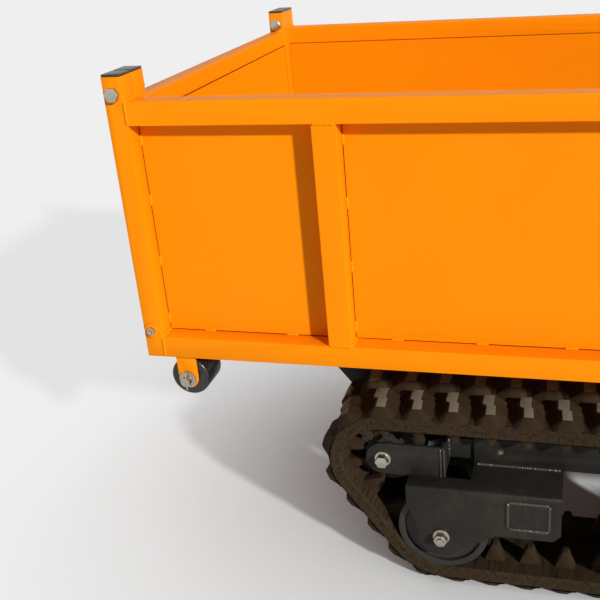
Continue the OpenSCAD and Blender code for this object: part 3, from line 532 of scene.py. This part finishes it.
# Caps, hinge bolts and clamp screws of the posts: black plastic caps pushed into the tubes' ends,
# zinc-plated bolts through the upper ends, and clamp screws in bosses lower down.
cap_plastic = finish_of("black_plastic", (0.016, 0.015, 0.014), 0.36, 0.25, dust_brown, grain=0.0001,
                        scale=420)
zinc = finish_of("zinc_steel", (0.50, 0.465, 0.385), 0.32, 0.25, (0.14, 0.11, 0.07), metal=1.0,
                 grain=0.00006)
dress("post_caps", cap_plastic, 0.0016, 3)
dress("gate_caps", cap_plastic, 0.0016, 3)
dress("gate_hinge_bolts", zinc, 0.0009, 2)
dress("clamp_screws", zinc, 0.0008, 2)


# Tip rollers: black rollers on plated pins between two painted plates, welded under each front
# corner of the tray, on which the tipped tray rolls.
dress("roller_brackets", orange, 0.0012, 2)
dress("roller_pins", zinc, 0.0012, 2)
roller_rubber = finish_of("black_rubber", (0.010, 0.010, 0.010), 0.27, 0.25, (0.09, 0.075, 0.055),
                          grain=0.0001, scale=500)
dress("left_tip_roller", roller_rubber, 0.004, 3)
dress("right_tip_roller", roller_rubber, 0.004, 3)


# Chassis: two welded rails with cross tubes, the hinge towers that carry the tray, the engine's deck
# behind it and the latch that holds the tray down, all painted black.
black_paint = finish_of("black_paint", (0.0185, 0.0165, 0.0135), 0.44, 0.25, (0.075, 0.060, 0.042),
                        shine=0.15, grain=0.00012)
dress("chassis_rails", black_paint, 0.004, 2)
dress("cross_tubes", black_paint, 0.005, 3)
dress("hinge_towers", black_paint, 0.0015, 2)
dress("hinge_pins", zinc, 0.0015, 2)
dress("bump_stops", roller_rubber, 0.003, 3)
dress("engine_deck", black_paint, 0.001, 2)
dress("tip_latch", black_paint, 0.001, 2)


# Track frames: a square beam inside each track, bent brackets that carry the road wheels, and the
# yoke at the front that slides in the beam to tension the track. The joints are welded by hand.
track_mid = 0.275
wheels_at = (0.480, 0.145, -0.190)
bracket_top = 0.213
bracket_half = 0.106
bracket_bend = 0.005
on_line = 0.0004
dress("track_beams", black_paint, 0.005, 3)
dress("beam_bolts", zinc, 0.0006, 2)


def folded(first, second):
    """Tells the long edges where a wheel bracket's top is bent down into its cheeks."""
    at_top = max(abs(first.z - bracket_top), abs(second.z - bracket_top)) < on_line
    at_cheek = abs(abs(abs(first.y) - track_mid) - bracket_half) < on_line
    return at_top and at_cheek and abs(first.y - second.y) < on_line


dress("wheel_brackets", black_paint, 0.0012, 2, bends=folded, bend_radius=bracket_bend)
dress("wheel_axles", zinc, 0.0010, 2)
weld_steel = finish_of("weld_steel", (0.075, 0.068, 0.058), 0.30, 0.3, (0.05, 0.04, 0.03), metal=0.6,
                       grain=0.0005, scale=300)
beam_half = 0.025
beam_weld = 0.0042
beam_rear = -0.366
seat_behind, seat_ahead = 0.195, 0.048
seat_inset = 0.004
cross_backs = (0.304, -0.366)
cross_deep = 0.066
cross_low, cross_high = 0.147, 0.199
chassis_welds = []
seed = 1500
for side in (1, -1):
    for wheel in wheels_at:
        back = max(wheel - seat_behind, beam_rear) + seat_inset
        front = wheel - seat_ahead
        for edge in (track_mid - beam_half, track_mid + beam_half):
            start = (back, side * edge, bracket_top)
            end = (front, side * edge, bracket_top)
            chassis_welds.append(bead(start, end, beam_weld, seed))
            seed += 1
    for cross in cross_backs:
        corners = ((cross, cross_low), (cross + cross_deep, cross_low),
                   (cross + cross_deep, cross_high), (cross, cross_high))
        for cheek in (track_mid - bracket_half, track_mid + bracket_half):
            y = side * cheek
            for (x0, z0), (x1, z1) in zip(corners, corners[1:] + corners[:1]):
                chassis_welds.append(bead((x0, y, z0), (x1, y, z1), post_weld, seed))
                seed += 1
fuse("track_frame_welds", chassis_welds, weld_steel, "chassis")

yoke_rear = 0.478
yoke_mid = 0.238
yoke_plate = 0.006
yoke_weld = 0.0024
yoke_weld_half = 0.028
plate_face = 0.070
stem = 0.019
for side, hand in (("left", 1), ("right", -1)):
    yoke = dress(side + "_yoke", black_paint, 0.0012, 2)
    yoke.data.materials.append(zinc)
    for face in yoke.data.polygons:
        if abs(abs(face.center.y) - track_mid) > plate_face + on_line / 2:
            face.material_index = 1
    yoke_welds = []
    for plate in (track_mid - plate_face, track_mid + plate_face):
        for x in (yoke_rear, yoke_rear + yoke_plate):
            start = (x, hand * plate, yoke_mid - yoke_weld_half)
            end = (x, hand * plate, yoke_mid + yoke_weld_half)
            yoke_welds.append(bead(start, end, yoke_weld, seed))
            seed += 1
    ring = ((-stem, -stem), (stem, -stem), (stem, stem), (-stem, stem))
    for (y0, z0), (y1, z1) in zip(ring, ring[1:] + ring[:1]):
        start = (yoke_rear, hand * (track_mid + y0), yoke_mid + z0)
        end = (yoke_rear, hand * (track_mid + y1), yoke_mid + z1)
        yoke_welds.append(bead(start, end, post_weld, seed))
        seed += 1
    fuse(side + "_yoke_welds", yoke_welds, weld_steel, side + "_yoke")


# Wheels in the tracks: idlers and road wheels that turn on bolts, and drive sprockets on the
# gearbox's shafts, all of cast iron painted black.
dark_casting = finish_of("grey_casting", (0.017, 0.0165, 0.014), 0.5, 0.4, (0.07, 0.055, 0.038),
                         shine=0.35, grain=0.0004, scale=180)
for side in ("left", "right"):
    dress(side + "_idler", dark_casting, 0.003, 2)
    for wheel in (1, 2, 3):
        dress(side + "_wheel_" + str(wheel), dark_casting, 0.003, 2)
    dress(side + "_sprocket", dark_casting, 0.003, 2)


# Rubber tracks: a brown, dusty belt with two staggered rows of tread lugs, each a bar with a step
# in it whose top is worn grey, and two rows of pointed guide lugs inside.
earth_brown = (0.062, 0.040, 0.021)
track_rubber = finish_of("track_rubber", (0.034, 0.021, 0.010), 0.8, 0.7, earth_brown, shine=0.08,
                         grain=0.0006, scale=120)
belt_rubber = finish_of("belt_rubber", (0.040, 0.026, 0.013), 0.8, 0.6, earth_brown, shine=0.08,
                        grain=0.0006, scale=120, streaks=520)
worn_rubber = finish_of("worn_rubber", (0.215, 0.195, 0.150), 0.85, 0.5, (0.10, 0.072, 0.045),
                        shine=0.1, grain=0.0009, scale=160)
carcass = 0.024
idler_bend = (0.582, 0.239, 0.066)
front_bend = (0.480, 0.118, 0.078)
rear_bend = (-0.190, 0.118, 0.078)
sprocket_bend = (-0.470, 0.222, 0.080)
rollers_on = (idler_bend, front_bend, rear_bend, sprocket_bend)
legs = []
for index, (x, z, radius) in enumerate(rollers_on):
    next_x, next_z, next_radius = rollers_on[(index + 1) % len(rollers_on)]
    away = Vector((next_x - x, next_z - z))
    normal = math.atan2(away.y, away.x) + math.acos((radius - next_radius) / away.length)
    run = math.sqrt(away.length_squared - (radius - next_radius) ** 2)
    legs.append([x, z, radius, normal, run])
for index, leg in enumerate(legs):
    turn = (legs[index - 1][3] - leg[3]) % (2 * math.pi)
    leg.append(turn * (leg[2] + carcass))
course_length = sum(leg[4] + leg[5] for leg in legs)


def on_course(distance, lift):
    """The point at a distance round the track, lifted off the track's inner face."""
    distance %= course_length
    for index, (x, z, radius, normal, run, arc) in enumerate(legs):
        if distance < arc:
            angle = legs[index - 1][3] - distance / (radius + carcass)
            return x + (radius + lift) * math.cos(angle), z + (radius + lift) * math.sin(angle)
        if distance < arc + run:
            ahead = distance - arc
            return (x + (radius + lift) * math.cos(normal) + ahead * math.sin(normal),
                    z + (radius + lift) * math.sin(normal) - ahead * math.cos(normal))
        distance -= arc + run
    return on_course(0, lift)


def patch(columns, rows, places):
    """A sheet of quads whose corners are put at places[row][column]."""
    bpy.ops.object.select_all(action="DESELECT")
    bpy.ops.mesh.primitive_grid_add(x_subdivisions=columns - 1, y_subdivisions=rows - 1, size=1)
    sheet = bpy.context.object
    for vertex in sheet.data.vertices:
        column = round((vertex.co.x + 0.5) * (columns - 1))
        row = round((vertex.co.y + 0.5) * (rows - 1))
        vertex.co = places[row][column]
    return sheet


def soften(sheet, width, steps):
    """Turns a lug's faces outwards and rounds its edges."""
    bpy.ops.object.mode_set(mode="EDIT")
    bpy.ops.mesh.select_all(action="SELECT")
    bpy.ops.mesh.normals_make_consistent(inside=False)
    bpy.ops.object.mode_set(mode="OBJECT")
    rounding = sheet.modifiers.new("rounding", "BEVEL")
    rounding.width = width
    rounding.segments = steps
    rounding.limit_method = "ANGLE"
    rounding.angle_limit = math.radians(18)
    bpy.ops.object.modifier_apply(modifier=rounding.name)


# A tread lug across the belt, from its edge inwards: place, foot behind, top behind, top ahead,
# foot ahead, height
tread_height = 0.0160
tread_foot = 0.0004
tread_stations = (
    (0.0895, -0.0220, -0.0120, 0.0120, 0.0200, tread_foot),
    (0.0780, -0.0285, -0.0105, 0.0050, 0.0230, tread_height),
    (0.0500, -0.0265, -0.0085, 0.0070, 0.0165, tread_height),
    (0.0460, -0.0250, -0.0045, 0.0140, 0.0190, tread_height),
    (0.0150, -0.0270, -0.0040, 0.0145, 0.0240, tread_height),
    (0.0030, -0.0220, -0.0040, 0.0120, 0.0200, tread_foot),
)
tread_places = []
for across, behind, top_behind, top_ahead, ahead, height in tread_stations:
    tread_places.append([(behind, across, 0), (top_behind, across, height),
                         (top_ahead, across, height), (ahead, across, 0)])
tread_lug = patch(4, len(tread_places), tread_places)
soften(tread_lug, 0.0016, 2)
tread_lug.data.materials.append(track_rubber)
tread_lug.data.materials.append(worn_rubber)
for face in tread_lug.data.polygons:
    on_top = face.center.z > tread_height - tread_foot and abs(face.normal.z) > 0.9
    face.use_smooth = False
    face.material_index = 1 if on_top else 0
guide_tip = 0.032
guide_shoulder = 0.030
guide_places = []
for across, tall in ((0.0410, 0), (0.0415, 1), (0.0585, 1), (0.0590, 0)):
    shoulder, tip = -guide_shoulder * tall, -guide_tip * tall
    guide_places.append([(-0.017, across, 0), (-0.006, across, shoulder), (-0.004, across, tip),
                         (0.004, across, tip), (0.006, across, shoulder), (0.017, across, 0)])
guide_lug = patch(6, len(guide_places), guide_places)
soften(guide_lug, 0.0012, 2)
guide_lug.data.materials.append(track_rubber)

lug_count = 47
lug_pitch = course_length / lug_count
belt_half = 0.090
belt_edge = 0.003
belt_step = 0.0892
half_belt = ((0.030, 0), (belt_half - belt_edge, 0), (belt_step, belt_edge), (belt_step, 0.0135),
             (belt_half, 0.0145), (belt_half, carcass - belt_edge), (belt_half - belt_edge, carcass),
             (0.045, carcass))
other_half = tuple((-across, lift) for across, lift in reversed(half_belt))
belt_profile = half_belt + other_half + half_belt[:1]
belt_steps = 320
for side, hand in (("left", 1), ("right", -1)):
    belt_places = []
    for across, lift in belt_profile:
        points = [on_course(course_length * step / belt_steps, lift) for step in range(belt_steps + 1)]
        belt_places.append([(x, hand * (track_mid + across), z) for x, z in points])
    belt = patch(belt_steps + 1, len(belt_profile), belt_places)
    belt.data.materials.append(belt_rubber)
    members = [belt]
    lug_rows = ((tread_lug, 1, 0.0, carcass), (tread_lug, -1, 0.5, carcass),
                (guide_lug, 1, 0.0, 0), (guide_lug, -1, 0.0, 0))
    for number in range(lug_count):
        for source, mirror, phase, base in lug_rows:
            lug = source.copy()
            lug.data = source.data.copy()
            scene.collection.objects.link(lug)
            for vertex in lug.data.vertices:
                along, across, height = vertex.co
                x, z = on_course((number + phase) * lug_pitch + mirror * along, base + height)
                vertex.co = (x, hand * (track_mid + mirror * across), z)
            members.append(lug)
    bpy.ops.object.select_all(action="DESELECT")
    for member in members:
        member.select_set(True)
    bpy.context.view_layer.objects.active = belt
    bpy.ops.object.join()
    bpy.ops.object.mode_set(mode="EDIT")
    bpy.ops.mesh.select_all(action="SELECT")
    bpy.ops.mesh.remove_doubles(threshold=0.00001)
    bpy.ops.mesh.normals_make_consistent(inside=False)
    bpy.ops.object.mode_set(mode="OBJECT")
    bpy.ops.object.shade_smooth_by_angle(angle=math.radians(28))
    belt.name = side + "_track_rubber"
    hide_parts(side + "_track")
    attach(belt, "chassis")
for spare in (tread_lug, guide_lug):
    bpy.data.objects.remove(spare)


# Drive: the cast gearbox bolted together under the rails, two plated pulleys, and the rubber belt
# with its pressed cover on the right side.
def disc(radius, thickness, sides, edge, lift=0):
    """A round or six-sided plate that lies flat over the origin, with its rims chamfered."""
    bpy.ops.object.select_all(action="DESELECT")
    bpy.ops.mesh.primitive_cylinder_add(vertices=sides, radius=radius, depth=thickness,
                                        location=(0, 0, lift + thickness / 2))
    piece = bpy.context.object
    bpy.ops.object.transform_apply(location=True, rotation=True, scale=True)
    bpy.ops.object.mode_set(mode="EDIT")
    bpy.ops.mesh.select_all(action="SELECT")
    bpy.ops.mesh.bevel(offset=edge, segments=2)
    bpy.ops.object.mode_set(mode="OBJECT")
    bpy.ops.object.shade_smooth_by_angle(angle=math.radians(35))
    return piece


def bolt(across):
    """A washer with a hexagon head on it, standing on the origin."""
    washer_thick = 0.14 * across
    washer = disc(0.85 * across, washer_thick, 24, 0.04 * across)
    head = disc(0.577 * across, 0.45 * across, 6, 0.05 * across, lift=washer_thick)
    washer.select_set(True)
    head.select_set(True)
    bpy.context.view_layer.objects.active = washer
    bpy.ops.object.join()
    return washer


def facing(at, axis):
    """The move that seats a piece at a place, standing out along an axis."""
    turn = Vector(axis).to_track_quat("Z", "Y").to_matrix().to_4x4()
    return Matrix.Translation(at) @ turn


def copies(source, moves):
    """One copy of a piece for each move, every one with its own mesh, in place of the piece."""
    made = []
    for move in moves:
        twin = source.copy()
        twin.data = source.data.copy()
        twin.data.transform(move)
        scene.collection.objects.link(twin)
        made.append(twin)
    bpy.data.objects.remove(source)
    return made


dress("gearbox", dark_casting, 0.006, 3)
gearbox_side = 0.083
gearbox_moves = []
for x in (-0.622, -0.560, -0.500, -0.458):
    for z in (0.166, 0.236):
        for hand in (1, -1):
            gearbox_moves.append(facing((x, hand * gearbox_side, z), (0, hand, 0)))
fuse("gearbox_bolts", copies(bolt(0.010), gearbox_moves), zinc, "chassis")
dress("gearbox_pulley", zinc, 0.0012, 2)
dress("engine_pulley", zinc, 0.0012, 2)
dress("drive_belt", roller_rubber, 0.001, 2)
dress("belt_guard", black_paint, 0.003, 3)


# Engine: cast finned block with case bolts, plastic fan housing with the pull starter and its vent
# ribs, pressed tank with a rolled seam, muffler with a drilled shield whose outlet and holes are dark
# discs of painted shade, and an air cleaner that a wing nut holds.
cast_alloy = finish_of("cast_alloy", (0.46, 0.45, 0.43), 0.48, 0.25, (0.13, 0.11, 0.08), metal=0.85,
                       grain=0.0004, scale=180)
crank_x = -0.590
crank_z = 0.422
dress("engine_block", cast_alloy, 0.003, 2)


def box_edges(low, high, kept=()):
    """Tells the outer edges of a box between two corners, apart from those on a kept side."""
    def on_edge(first, second):
        sides = [(axis, limit) for axis in range(3) for limit in (low[axis], high[axis])
                 if max(abs(first[axis] - limit), abs(second[axis] - limit)) < on_line]
        return len(sides) == 2 and not set(sides) & set(kept)
    return on_edge


case_face = -0.130
case_circle = 0.050
case_moves = []
for step in range(6):
    angle = math.radians(60 * step + 15)
    x = crank_x + case_circle * math.cos(angle)
    z = crank_z + case_circle * math.sin(angle)
    case_moves.append(facing((x, case_face, z), (0, -1, 0)))
fuse("case_bolts", copies(bolt(0.009), case_moves), zinc, "chassis")

dress("engine_cowl", cap_plastic, 0.006, 3)
starter_face = 0.134
vent_count = 28
vent_moves = []
for step in range(vent_count):
    vent_moves.append(Matrix.Translation((crank_x, starter_face, crank_z))
                      @ Matrix.Rotation(math.radians(-90), 4, "X")
                      @ Matrix.Rotation(2 * math.pi * step / vent_count, 4, "Z"))
vent = strip((0.049, -0.0014, 0), (0.070, 0.0014, 0.0022))
fuse("cowl_vents", copies(vent, vent_moves), cap_plastic, "chassis")

tank_low = Vector((-0.725, -0.100, 0.526))
tank_high = Vector((-0.515, 0.100, 0.618))
tank_bend = 0.018
dress("fuel_tank", black_paint, 0.001, 2, bends=box_edges(tank_low, tank_high),
      bend_radius=tank_bend)
seam_proud = 0.001
seam_thick = 0.004
tank_middle = (tank_low + tank_high) / 2
tank_half = (tank_high - tank_low) / 2
bpy.ops.object.select_all(action="DESELECT")
bpy.ops.mesh.primitive_cylinder_add(vertices=48, radius=tank_bend + seam_proud, depth=seam_thick,
                                    rotation=(0, 0, math.radians(3.75)))
seam_ring = bpy.context.object
bpy.ops.object.transform_apply(location=True, rotation=True, scale=True)
for vertex in seam_ring.data.vertices:
    vertex.co.x += math.copysign(tank_half.x - tank_bend, vertex.co.x)
    vertex.co.y += math.copysign(tank_half.y - tank_bend, vertex.co.y)
    vertex.co += tank_middle
bpy.ops.object.shade_smooth_by_angle(angle=math.radians(35))
fuse("tank_seam", [seam_ring], black_paint, "chassis")
dress("fuel_cap", cap_plastic, 0.002, 2)

muffler_steel = finish_of("muffler_steel", (0.17, 0.155, 0.135), 0.55, 0.5, (0.10, 0.06, 0.035),
                          metal=0.8, grain=0.0003, scale=240)
muffler_low = (-0.765, -0.080, 0.386)
muffler_high = (-0.705, 0.080, 0.496)
dress("muffler", muffler_steel, 0.001, 2, bends=box_edges(muffler_low, muffler_high),
      bend_radius=0.014)
outlet = Vector((-0.784, 0.050, 0.466))
outlet_bore = 0.0095
outlet_clear = 0.017
hole_radius = 0.0030
hole_y, hole_z = -0.060, 0.404
hole_step_y, hole_step_z = 0.020, 0.018
rearward = (-1, 0, 0)
hole_moves = []
for column in range(7):
    for row in range(5):
        at = Vector((muffler_low[0], hole_y + hole_step_y * column, hole_z + hole_step_z * row))
        if (at - outlet).yz.length > outlet_clear:
            hole_moves.append(facing(at, rearward))
# Painted shade: thin near-black discs stand for the dark inside of the outlet's bore and the shield's
# holes.
holes = copies(disc(outlet_bore, 0.0004, 32, 0.0001), [facing(outlet, rearward)])
holes += copies(disc(hole_radius, 0.0008, 12, 0.0002), hole_moves)
hole_shade_paint = finish_of("muffler_holes", (0.012, 0.011, 0.010), 0.8, 0.2, (0.03, 0.025, 0.02), shine=0.1)
fuse("muffler_holes", holes, hole_shade_paint, "chassis")

cleaner_low = (-0.510, 0.025, 0.492)
cleaner_high = (-0.430, 0.125, 0.586)
cleaner_edges = box_edges(cleaner_low, cleaner_high, kept=((0, cleaner_low[0]),))
dress("air_cleaner", cap_plastic, 0.001, 2, bends=cleaner_edges, bend_radius=0.012)
nut_at = Vector((-0.470, 0.075, cleaner_high[2]))
wing_low = nut_at + Vector((-0.016, -0.0025, 0.004))
wing_high = nut_at + Vector((0.016, 0.0025, 0.016))
nut = copies(disc(0.010, 0.006, 24, 0.001), [Matrix.Translation(nut_at)])
nut.append(strip(wing_low, wing_high))
fuse("air_cleaner_nut", nut, zinc, "chassis")


# Handlebar: bent steel tube on foot plates bolted to the deck, with a dash plate, ribbed rubber
# grips, and the levers that steer, drive, set the throttle and choose the gear.
dress("handlebar", black_paint, 0.001, 2)
foot_y = 0.158
foot_top = 0.322
foot_moves = []
for hand in (1, -1):
    for x in (-0.769, -0.731):
        foot_moves.append(Matrix.Translation((x, hand * foot_y, foot_top)))
fuse("handlebar_bolts", copies(bolt(0.0055), foot_moves), zinc, "chassis")

dress("hand_grips", roller_rubber, 0.003, 3)
grip_y = 0.230
grip_z = 0.900
rib_first = -0.940
rib_pitch = 0.008
bpy.ops.object.select_all(action="DESELECT")
bpy.ops.mesh.primitive_torus_add(major_radius=0.0175, minor_radius=0.0014, major_segments=40,
                                 minor_segments=8, rotation=(0, math.radians(90), 0))
rib = bpy.context.object
rib.scale.z = 1.5
bpy.ops.object.transform_apply(location=True, rotation=True, scale=True)
bpy.ops.object.shade_smooth()
rib_moves = []
for hand in (1, -1):
    for step in range(12):
        rib_moves.append(Matrix.Translation((rib_first + rib_pitch * step, hand * grip_y, grip_z)))
fuse("grip_ribs", copies(rib, rib_moves), roller_rubber, "chassis")

for lever in ("left_steering", "right_steering", "drive", "throttle", "gear"):
    dress(lever + "_lever", black_paint, 0.001, 2)
